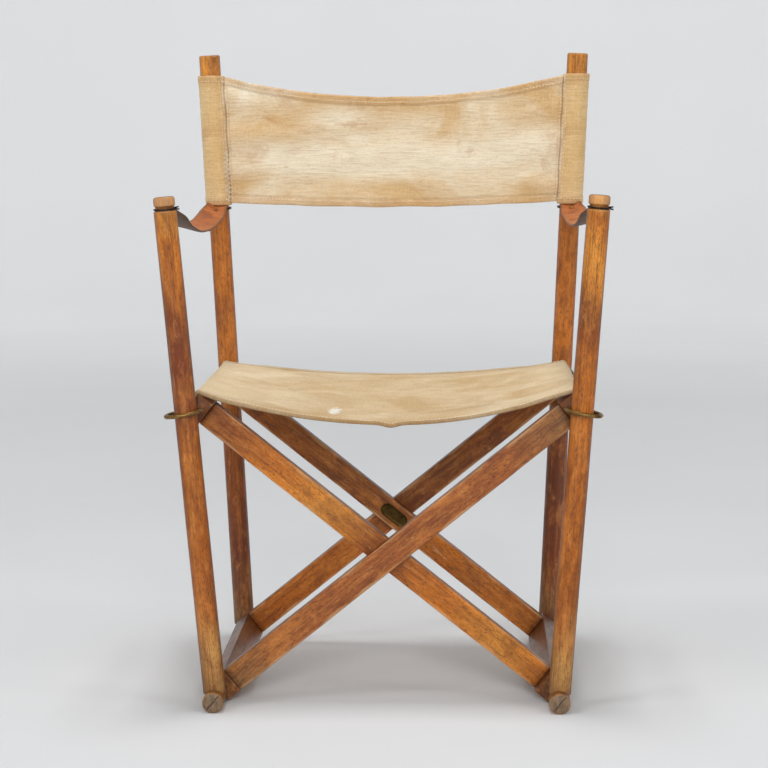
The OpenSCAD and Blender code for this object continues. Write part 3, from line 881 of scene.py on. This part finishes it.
def make_seat(material, thread):
    """The seat cloth, hung between the seat rails, deeper at the front than at the back."""
    low, high = low_high("seat_canvas")
    corner_x, corner_z = seat_corner()
    depth = high[1] - low[1]
    outside = np.concatenate([np.linspace(0.0012, 0.006, 4), np.linspace(0.009, SEAT_FLAP, 5)])
    across = np.concatenate([-(corner_x + outside[::-1]), np.linspace(-corner_x, corner_x, 121),
                             corner_x + outside])
    along = close_rows(0.03, 9, 72)
    grid, half, threads = [], [], []
    marks = {"hem": [], "fade": [], "bare": [], "seam": []}
    for s in across:
        row = []
        t = min(abs(s) / corner_x, 1)
        for v in along:
            y_in = v * depth
            edge = min(v, 1 - v) * depth
            deep = 0.0435 - 0.0255 * smooth(v) + 0.003 * math.sin(math.pi * v)
            x, z = seat_point(s, corner_x, corner_z, deep)
            if t < 1:
                ripple = 0.0022 * wobble((s * 0.35, y_in, 0), 16, 2.0)
                pull = 0.0016 * math.sin(y_in * 2 * math.pi / 0.052 + 3 * wobble((s, v, 0), 3, 5.0))
                pull *= smooth((t - 0.72) / 0.2) * (1 - smooth((t - 0.97) / 0.03))
                kink = 0.0035 * bell(s - 0.006, 0.011) * bell(y_in, 0.02)
                z += (ripple + pull) * smooth((1 - t) / 0.25) + pull * 0.6 - kink
            # the free edges draw in a little
            draw = 0.007 * (1 - t * t)
            y = low[1] + y_in + draw * (1 - smooth(v / 0.5)) - 0.5 * draw * (1 - smooth((1 - v) / 0.5))
            row.append((x, y, z))
            hem = hem_amount(edge, 0.002)
            half.append(CANVAS_T / 2 * (1 + 1.1 * hem))
            threads.append((s, y_in, 0))
            # a patch rubbed bare, slanting over the front left
            patch_y = y_in - 0.078
            patch_x = s + 0.073 - 0.12 * patch_y
            bare = 1.7 * math.exp(-(patch_x / 0.0066) ** 2 - (patch_y / 0.021) ** 2)
            marks["hem"].append(hem)
            # painted shadow line under the hem's inner edge, and a darker cut edge
            marks["seam"].append(0.5 * bell(edge - 0.0110, 0.0016) + 0.55 * bell(edge, 0.0024))
            marks["bare"].append(bare)
            marks["fade"].append(0.62 * float(smooth((-s - 0.12) / 0.1))
                                 + 0.5 * float(smooth((s - 0.15) / 0.08)) + 0.25 * bare)
        grid.append(row)
    grid = np.array(grid)
    seat = cloth("seat_canvas_cloth", grid, half, threads, material, marks=marks)
    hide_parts("seat_canvas")
    sewn = []
    for which, v in (("front", 0.0072 / depth), ("rear", 1 - 0.0072 / depth)):
        path = grid[6:-6, int(np.argmin(np.abs(along - v)))] + np.array([0, 0, CANVAS_T * 1.08])
        sewn.append(stitches("seat_%s_hem_stitching" % which, path, [(0, 0, 1.0)] * len(path), thread))
    for piece in [seat] + sewn:
        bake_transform(piece)


def make_seat_tacks(material):
    """Small round-headed tacks that hold the seat cloth's flaps to the rails' outer faces."""
    low, high = low_high("seat_canvas")
    rings = ((0.0042, -0.0003), (0.0042, 0.0002), (0.0034, 0.0011), (0.0018, 0.0016))
    sides = 16
    for node, body, side in (("inner_seat_rail", "inner_stool", -1), ("outer_seat_rail", "outer_stool", 1)):
        mid = centre(node)
        up = np.array([-side * math.sin(SLOPE), 0, math.cos(SLOPE)])
        out = np.array([side * math.cos(SLOPE), 0, math.sin(SLOPE)])
        points, faces = [], []
        for y in np.linspace(low[1] + 0.016, high[1] - 0.016, 9):
            base = mid + out * (SEAT_RAIL[1] / 2 + 0.0006 + CANVAS_T) + up * (SEAT_RAIL[0] / 2 - 0.017)
            base[1] = y + 0.002 * wobble((y, 0, 0), 40, side)
            first = len(points)
            for r, h in rings:
                points += [base + out * h + r * (math.cos(a) * up + math.sin(a) * np.array([0, 1, 0]))
                           for a in circle(sides)]
            points.append(base + out * 0.0018)
            close_stack(faces, len(rings), sides, first, len(points) - 1)
        settle(build(node + "_tacks", points, faces, material), body)


def make_back(material, sleeve_material, thread, white_thread):
    """The back's panel, bowed backwards between its sleeves, with both sleeves."""
    bow = low_high("back_canvas")[1][1] - pole_axis("rear_left")[0][1] - CANVAS_T
    sleeve_low, sleeve_high = low_high("left_back_sleeve")
    z_low, z_high = sleeve_low[2] + 0.0005, sleeve_high[2] - 0.0005
    sleeve_r = POLE_R + 0.0005 + CANVAS_T / 2
    panel_end = sleeve_r * 0.84
    cols = 2 * close_rows(0.025, 14, 121) - 1
    rows = close_rows(0.08, 9, 56)
    grid, half, threads = [], [], []
    marks = {"hem": [], "fade": [], "seam": []}
    for u in cols:
        row = []
        t = abs(u)
        top = z_high - 0.032 * (1 - t ** 2.2)
        bottom = z_low - 0.0085 * (1 - t ** 2.0) + 0.004
        for v in rows:
            z = bottom + (top - bottom) * v
            left, right = on_pole("rear_left", z), on_pole("rear_right", z)
            reach = (right[0] - left[0]) / 2 - panel_end
            x = (left[0] + right[0]) / 2 + u * reach
            inset = (1 - t) * reach
            edge = min(v * (top - bottom), (1 - v) * (top - bottom))
            y = left[1] - sleeve_r * 0.42 * t ** 14 + (bow - 0.003) * (1 - t ** 2.2) * (0.82 + 0.18 * v)
            folds = math.sin(v * 2 * math.pi * 3.4 + 2.2 * wobble((u, v, 0), 2.2, 4.0) + 1.0 * u)
            pleat = 0.0030 * smooth((t - 0.55) / 0.4) * (1 - smooth((t - 0.975) / 0.025)) * folds
            tension = 0.0034 * wobble((x * 0.5, 0, z * 2.2 + abs(x) * 0.5), 17, 6.0) * (1 - t ** 6)
            roll = 0.0022 * bell(v - 1, 0.07) * (1 - t ** 6)
            ridge = 0.0015 * bell(inset - 0.0016, 0.0012)
            groove = 0.0011 * bell(inset - 0.0044, 0.0012)
            y = y + pleat + tension - roll - ridge + groove
            row.append((x, y, z + 0.0012 * wobble((x, 0, 0), 22, v)))
            hem, fold_in = hem_amount(edge), float(1 - smooth((inset - 0.009) / 0.0016))
            half.append(CANVAS_T / 2 * (1 + 0.8 * max(hem, fold_in)))
            threads.append((x, z, 0))
            marks["hem"].append(max(hem, 0.8 * fold_in))
            # painted shadow in the seam's groove and under the hems' inner edges
            marks["seam"].append(0.9 * bell(inset - 0.0044, 0.0011) + 0.35 * bell(edge - 0.0108, 0.0012))
            pale = 1.1 * bell(v - 0.42 - 0.05 * u, 0.17) * (1 - 0.5 * t ** 3)
            pale += 0.75 * bell(v - 0.78, 0.16) * bell(u + 0.25, 0.35)
            marks["fade"].append(pale * (1 + 0.5 * wobble((u, v, 0), 3.0, 9.0)))
        grid.append(row)
    grid = np.array(grid)
    # flipped, so that the cloth's face looks towards -Y
    panel = cloth("back_canvas_panel", grid, half, threads, material, flip=0, marks=marks)
    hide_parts("back_canvas")
    sewn = []

    def sew(name, path, way, **sizes):
        path = path + np.array([0, way * CANVAS_T * 0.92, 0])
        sewn.append(stitches(name, path, [(0, way, 0)] * len(path), thread, **sizes))
    for v, which in ((0.036, "lower"), (0.964, "upper")):
        path = grid[8:-8, int(np.argmin(np.abs(rows - v)))]
        sew("back_%s_hem_stitching" % which, path, -1.0, pitch=0.0048, length=0.0036, radius=0.00058,
            zigzag=0.0018)
        sew("back_%s_hem_stitching_behind" % which, path, 1.0, pitch=0.0056)
    for i, side in ((8, "left"), (-9, "right")):
        sew("back_%s_seam_stitching" % side, grid[i, 2:-2], -1.0)
    # the panel and its stitching ride the left frame, each with a mesh of its own
    for piece in [panel] + sewn:
        settle(piece, "left_frame")
        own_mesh(piece)
    make_sleeves(sleeve_material, thread, white_thread, z_low, z_high, sleeve_r)


def make_sleeves(material, thread, white_thread, z_low, z_high, radius):
    for name, side, seed in (("left", -1, 3.0), ("right", 1, 6.5)):
        sleeve = make_sleeve(name, side, seed, material, z_low, z_high, radius)
        pieces = sew_sleeve(name, side, thread, white_thread, z_low, z_high, radius)
        settle(sleeve, name + "_frame", name + "_back_sleeve")
        for piece in pieces:
            settle(piece, name + "_frame")


def make_sleeve(name, side, seed, material, z_low, z_high, radius):
    """The cloth tube round a rear pole, a little slack, thicker where it is sewn beside the panel."""
    levels = np.concatenate([np.linspace(0, 0.075, 8)[:-1], np.linspace(0.075, 0.92, 44),
                             np.linspace(0.92, 1, 8)[1:]])
    seam_at = math.pi if side > 0 else 0
    grid, half, threads, marks = [], [], [], {"hem": [], "fade": []}
    for a in circle(72):
        row = []
        for v in levels:
            z = z_low + (z_high - z_low) * v
            mid = on_pole("rear_" + name, z)
            hem = hem_amount(min(v, 1 - v) * (z_high - z_low))
            slack = 0.00045 * (1 + wobble((math.cos(a), math.sin(a), z * 14), 1.6, seed))
            fold = 0.0004 * math.sin(z * 2 * math.pi / 0.03 + 2 * math.cos(a) + seed) * (1 - hem)
            seam = 0.0009 * bell((a - seam_at + math.pi) % (2 * math.pi) - math.pi, 0.22)
            r = radius + 0.0001 + slack * 0.8 + abs(fold) + seam + 0.0004 * hem
            row.append((mid[0] + r * math.cos(a), mid[1] + r * math.sin(a), z))
            half.append(CANVAS_T / 2 * (0.92 + 0.5 * hem))
            threads.append((r * a, z, 0))
            marks["hem"].append(hem)
            marks["fade"].append(0.12)
        grid.append(row)
    return cloth(name + "_back_sleeve_cloth", grid, half, threads, material, wrap=True, marks=marks)


def sew_sleeve(name, side, thread, white_thread, z_low, z_high, radius):
    """The seam beside the panel, as seen from the front, mended on the left, and both hems."""
    angle = math.radians(-44 if side < 0 else 224)
    out = np.array([math.cos(angle), math.sin(angle), 0])
    heights = z_low + (z_high - z_low) * np.linspace(0.03, 0.97, 40)
    path = [on_pole("rear_" + name, z) + out * (radius + 0.0022) for z in heights]
    pieces = [stitches(name + "_sleeve_seam_stitching", path, [out] * len(path), thread, pitch=0.0054)]
    if name == "left":
        pieces.append(make_mending(white_thread, z_low, radius))
    outs = [np.array([math.cos(a), math.sin(a), 0]) for a in np.linspace(0, 2 * math.pi, 60)]
    for v, part in ((0.036, "lower"), (0.964, "upper")):
        mid = on_pole("rear_" + name, z_low + (z_high - z_low) * v)
        ring = [mid + out * (radius + 0.0029) for out in outs]
        pieces.append(stitches("%s_sleeve_%s_hem_stitching" % (name, part), ring, outs, thread))
    return pieces


def make_mending(thread, z_low, radius):
    """White zigzag mending on the lower end of the left seam."""
    front = np.array([0.35, -0.94, 0])
    aside = np.array([radius * 0.97, -radius * 0.62, 0]) + 0.0026 * front
    path = [on_pole("rear_left", z) + aside for z in np.linspace(z_low + 0.004, z_low + 0.082, 24)]
    return stitches("left_seam_mending", path, [front] * len(path), thread, pitch=0.0034, length=0.0046,
                    radius=0.0008, zigzag=0.009)


# ----------------------------------------------------------------- leather

def strap_path(name, sag):
    """The strap's middle line, from the front pole back to the rear one."""
    z_front, z_rear = STRAP_Z
    front, rear = on_pole("front_" + name, z_front), on_pole("rear_" + name, z_rear)
    out = []
    for t in np.linspace(0, 1, 90):
        z = z_front * (1 - t) + z_rear * t - 4 * sag * t * (1 - t)
        out.append((front[0] * (1 - t) + rear[0] * t, STRAP_RUN * (t - 0.5), z))
    return np.array(out)


def make_strap(name, side, body, material, thread, rivet, seed, sag):
    """An arm strap: a leather band that sags, rolls a little and narrows into its rings."""
    path = strap_path(name, sag)
    count = len(path)
    cols = np.linspace(-1, 1, 15)
    grid, half, threads, edge_mark = [], [], [], []
    run = 0.0
    for i, p in enumerate(path):
        t = i / (count - 1)
        way = unit(path[min(i + 1, count - 1)] - path[max(i - 1, 0)])
        run += np.linalg.norm(path[i] - path[i - 1]) if i else 0.0
        roll = math.radians(side * (16 * math.sin(math.pi * t) - 14 * smooth((0.25 - t) / 0.25)
                                    + 12 * smooth((t - 0.7) / 0.3)))
        across = unit(np.cross(way, (0, 0, 1)))
        turned = across * math.cos(roll) + np.cross(across, way) * math.sin(roll)
        up = np.cross(turned, way)
        end = min(t, 1 - t) * STRAP_RUN
        width = STRAP_W - (0.015 if t < 0.5 else 0.007) * (1 - smooth((end - 0.004) / 0.045))
        cup = 0.0032 * (1 - smooth(end / 0.06)) + 0.0012
        row = []
        for c in cols:
            wave = 0.0012 * wobble((c * 0.02, t * 0.37, 0), 26, seed)
            row.append(p + turned * c * width / 2 + up * (cup * (c * c - 0.3) + wave))
            half.append(LEATHER_T / 2 * (1 - 0.35 * abs(c) ** 8))
            threads.append((c * width / 2, run, 0))
            edge_mark.append(smooth((abs(c) - 0.72) / 0.28))
        grid.append(row)
    grid = np.array(grid)
    strap = cloth(name + "_arm_strap", grid, half, threads, material, flip=1, marks={"hem": edge_mark})
    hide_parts(name + "_strap")
    pieces = []
    for c, part in ((1, "inner"), (len(cols) - 2, "outer")):
        line = grid[6:-6, c] + np.array([0, 0, LEATHER_T / 2])
        pieces.append(stitches("%s_strap_%s_stitching" % (name, part), line, [(0, 0, 1.0)] * len(line),
                               thread, pitch=0.0062, length=0.0042, radius=0.00045))
    for i, part in ((5, "front"), (count - 6, "rear")):
        pieces.append(stud("%s_strap_%s_rivet" % (name, part), grid[i, len(cols) // 2], (0, 0, 1), 0.0042,
                           LEATHER_T, rivet))
    for piece in [strap] + pieces:
        settle(piece, body)
        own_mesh(piece)


def stud(name, point, way, radius, through, material):
    """A domed rivet with a head on both sides."""
    h = through / 2
    dome = [(radius * math.cos(a) + 0.0001, h + 0.0013 * math.sin(a) + 0.0002, 0, 0) for a in arc(6)]
    shank = [(radius * 0.5, h - 0.0001, 0, 0), (radius, h, 0, 0)]
    far = shank + dome
    near = [(r, -z, 0, 0) for r, z, _, _ in far[::-1]]
    return lathe(name, near + far, material, axes(point, way), 1.0, segments=20, rough=0.00005)


# ------------------------------------------------------------------- metal

def ring_middle(node, wire_r):
    """The middle of a ring in the CAD and the radius of its wire's own middle line."""
    low, high = low_high(node)
    return (low + high) / 2, (high[1] - low[1]) / 2 - wire_r


def make_pole_rings(material):
    """The four loose brass rings round the poles, each with a seam in its wire."""
    for name in ("front_left", "rear_left", "front_right", "rear_right"):
        node = name + "_pole_ring"
        mid, radius = ring_middle(node, POLE_RING_WIRE_R)
        side = -1 if name.endswith("left") else 1
        tilt = side * RING_SLOPE
        path, thick = [], []
        for a in circle(120):
            r = radius * (1 + 0.0016 * math.sin(2 * a + side))
            x, y = r * math.cos(a), r * math.sin(a)
            path.append(mid + np.array([x * math.cos(tilt), y, -x * math.sin(tilt)]))
            seam = 0.10 * bell(a - 1.1, 0.035)
            thick.append(POLE_RING_WIRE_R * (0.985 + 0.012 * math.sin(9 * a + side) - seam))
        ring = wire(node + "_wire", path, thick, material, closed=True, sides=16)
        settle(ring, node, node)


def make_strap_rings(material):
    """The wire rings round the poles that the arm straps hang from."""
    def ring_at(node, pole):
        mid, radius = ring_middle(node, STRAP_RING_WIRE_R)
        way = pole_axis(pole)[1]
        cross = unit(np.cross((0, 1, 0), way))

        def point(a):
            return mid + radius * (math.cos(a) * cross + math.sin(a) * np.array([0, 1, 0]))
        return point, way, cross
    for name, body in (("left", "left_frame"), ("right", "right_frame")):
        point, way, cross = ring_at(name + "_neck_ring", "front_" + name)
        # an open ring, whose two ends stand out at the side
        path = [point(a) + way * (0.0009 * math.cos(a / 2) - 0.0012) for a in np.linspace(0, 2 * math.pi, 90)]
        tail, tip = path[0] + cross * 0.0045 + way * 0.0008, path[-1] + cross * 0.005 - way * 0.0008
        neck = wire(name + "_neck_ring_wire", [tail] + path + [tip], [0.001] + [0.0012] * 90 + [0.001],
                    material, sides=10)
        settle(neck, body, name + "_neck_ring")
        point, way, _ = ring_at(name + "_rear_strap_ring", "rear_" + name)
        path = [point(a) + way * 0.0003 * math.sin(3 * a) for a in circle(96)]
        rear = wire(name + "_rear_ring_wire", path, 0.0017, material, closed=True, sides=10)
        settle(rear, body, name + "_rear_strap_ring")


def make_plate(material):
    """The blank oval plate on a crossed slat, with a raised rim and two pins."""
    low, high = low_high("blank_plate")
    length, width = PLATE
    half = (length - width) / 2
    steps = ((1.0, 0.0), (1.0, 0.0008), (0.97, 0.0013), (0.90, 0.0014), (0.86, 0.0009), (0.84, 0.0007),
             (0.5, 0.0008))
    around = circle(64)
    points, faces = [], []
    for shrink, lift in steps:
        for a in around:
            end = half if math.cos(a) >= 0 else -half
            points.append((end + width / 2 * shrink * math.cos(a), width / 2 * shrink * math.sin(a), lift))
    points.append((0, 0, 0.0008))
    close_stack(faces, len(steps), len(around), 0, len(points) - 1)
    along, out = Vector((-math.cos(SLOPE), 0, math.sin(SLOPE))), Vector((0, -1, 0))
    place = placed(along, out.cross(along), out, ((low[0] + high[0]) / 2, high[1], (low[2] + high[2]) / 2))
    plate = build("blank_plate_brass", points, faces, material, place)
    settle(plate, "inner_stool", "blank_plate")
    for side, part in ((-1, "left"), (1, "right")):
        point = Vector(place.translation) + along * side * half * 1.22 + out * 0.0008
        pin = stud("blank_plate_%s_pin" % part, point, out, 0.0014, 0.0006, material)
        settle(pin, "inner_stool")


def make_metal():
    """All the metal but the tacks and the strap rivets. Gives back the iron."""
    ring_brass = brass("aged_brass", 3.0, dull=0.75, dark=rgb(76, 52, 24), bright=rgb(180, 142, 84))
    dark_brass = brass("dark_brass", 6.0, dull=0.9, dark=rgb(40, 30, 16), bright=rgb(112, 88, 44))
    iron = brass("dark_iron", 9.0, dull=0.9, dark=rgb(30, 26, 22), bright=rgb(92, 80, 64))
    make_pole_rings(ring_brass)
    make_strap_rings(iron)
    make_plate(dark_brass)
    for row in ("front", "rear"):
        for half in ("outer", "inner"):
            paint("%s_%s_eye" % (half, row), dark_brass)
            paint("%s_%s_staple" % (half, row), ring_brass)
        paint(row + "_pivot_pin", dark_brass)
        paint(row + "_pivot_washer", dark_brass)
    return iron


# ------------------------------------------------------------------ studio

def make_backdrop():
    """A round bowl: a flat floor that bends up into a wall all round, so it has no edge in view."""
    flat, bend, tall, segments = 5.2, 2.0, 6.0, 96
    line = [(r, 0.0) for r in (0.5, 1.5, 3.0, 4.2, flat)]
    line += [(flat + bend * math.sin(a), bend - bend * math.cos(a)) for a in arc(15)[1:]]
    line.append((flat + bend, tall))
    points = [(0, 0, 0)] + [(r * math.cos(a), r * math.sin(a), z) for r, z in line for a in circle(segments)]
    faces = [(0, 1 + j, 1 + (j + 1) % segments) for j in range(segments)]
    faces += [face[::-1] for face in loop_faces(len(line), segments, first=1)]
    glow = [0.0] + [smooth((math.hypot(r, z) - 1.6) / 3.8) for r, z in line for _ in range(segments)]
    build("studio_floor", points, faces, floor_material(), marks={"glow": glow})


def make_studio():
    """The backdrop, a dim even sky and four large soft lights."""
    make_backdrop()
    world = bpy.data.worlds.new("studio")
    bpy.context.scene.world = world
    world.use_nodes = True
    sky = world.node_tree.nodes["Background"].inputs
    sky["Color"].default_value = (0.985, 0.985, 1.0, 1)
    sky["Strength"].default_value = 0.20
    for name, place, aim, size, watts in (
            ("left_key", (-3.0, -2.2, 3.9), (0, 0, 0.3), 1.3, 32),
            ("right_key", (3.2, -2.0, 3.8), (0, 0, 0.3), 1.3, 23),
            ("front", (0.2, -5.4, 2.6), (0, 0, 0.5), 1.8, 112),
            ("top", (0.0, 0.3, 4.2), (0, 0.3, 0.0), 1.1, 64)):
        light = bpy.data.lights.new(name, "AREA")
        light.size = size
        light.energy = watts
        obj = bpy.data.objects.new(name, light)
        obj.location = place
        obj.rotation_euler = (Vector(aim) - Vector(place)).to_track_quat("-Z", "Y").to_euler()
        bpy.context.scene.collection.objects.link(obj)
    bpy.context.scene.view_settings.view_transform = "Standard"


def make_camera():
    """The photo's camera."""
    data = bpy.data.cameras.new("camera")
    data.lens = 105.12
    data.sensor_width = 36
    data.clip_end = 50
    camera = bpy.data.objects.new("camera", data)
    turn = (Matrix.Rotation(math.radians(2.133), 4, "Z") @ Matrix.Rotation(math.radians(82.943), 4, "X")
            @ Matrix.Rotation(math.radians(-0.341), 4, "Z"))
    camera.matrix_world = Matrix.Translation((0.1073, -3.1096, 0.7946)) @ turn
    bpy.context.scene.collection.objects.link(camera)
    bpy.context.scene.camera = camera


def main():
    make_camera()
    make_studio()
    make_wood()
    iron = make_metal()
    cream = thread_material("cream_thread", rgb(250, 234, 202))
    white = thread_material("white_thread", rgb(244, 240, 230))
    back = woven("back_canvas_weave", 3.7, rgb(226, 190, 138), rgb(255, 246, 222), rgb(184, 118, 52),
                 (0.0016, 0.0019), 0.85, 0.55)
    sleeve = woven("sleeve_canvas_weave", 8.2, rgb(222, 182, 122), rgb(240, 208, 156), rgb(180, 118, 56),
                   (0.0016, 0.0019), 0.3, 0.5)
    seat = woven("seat_canvas_weave", 5.4, rgb(212, 178, 124), rgb(246, 226, 188), rgb(166, 118, 62),
                 (0.0014, 0.0014), 0.8, 0.35)
    make_seat(seat, cream)
    make_seat_tacks(iron)
    make_back(back, sleeve, cream, white)
    rivet = brass("rivet_brass", 12.0, dull=0.6)
    tan_thread = thread_material("tan_thread", rgb(190, 140, 92))
    for name, side, seed, sag in (("left", -1, 2.0, 0.027), ("right", 1, 7.0, 0.021)):
        make_strap(name, side, name + "_frame", leather(name + "_strap_leather", seed), tan_thread, rivet,
                   seed, sag)


main()
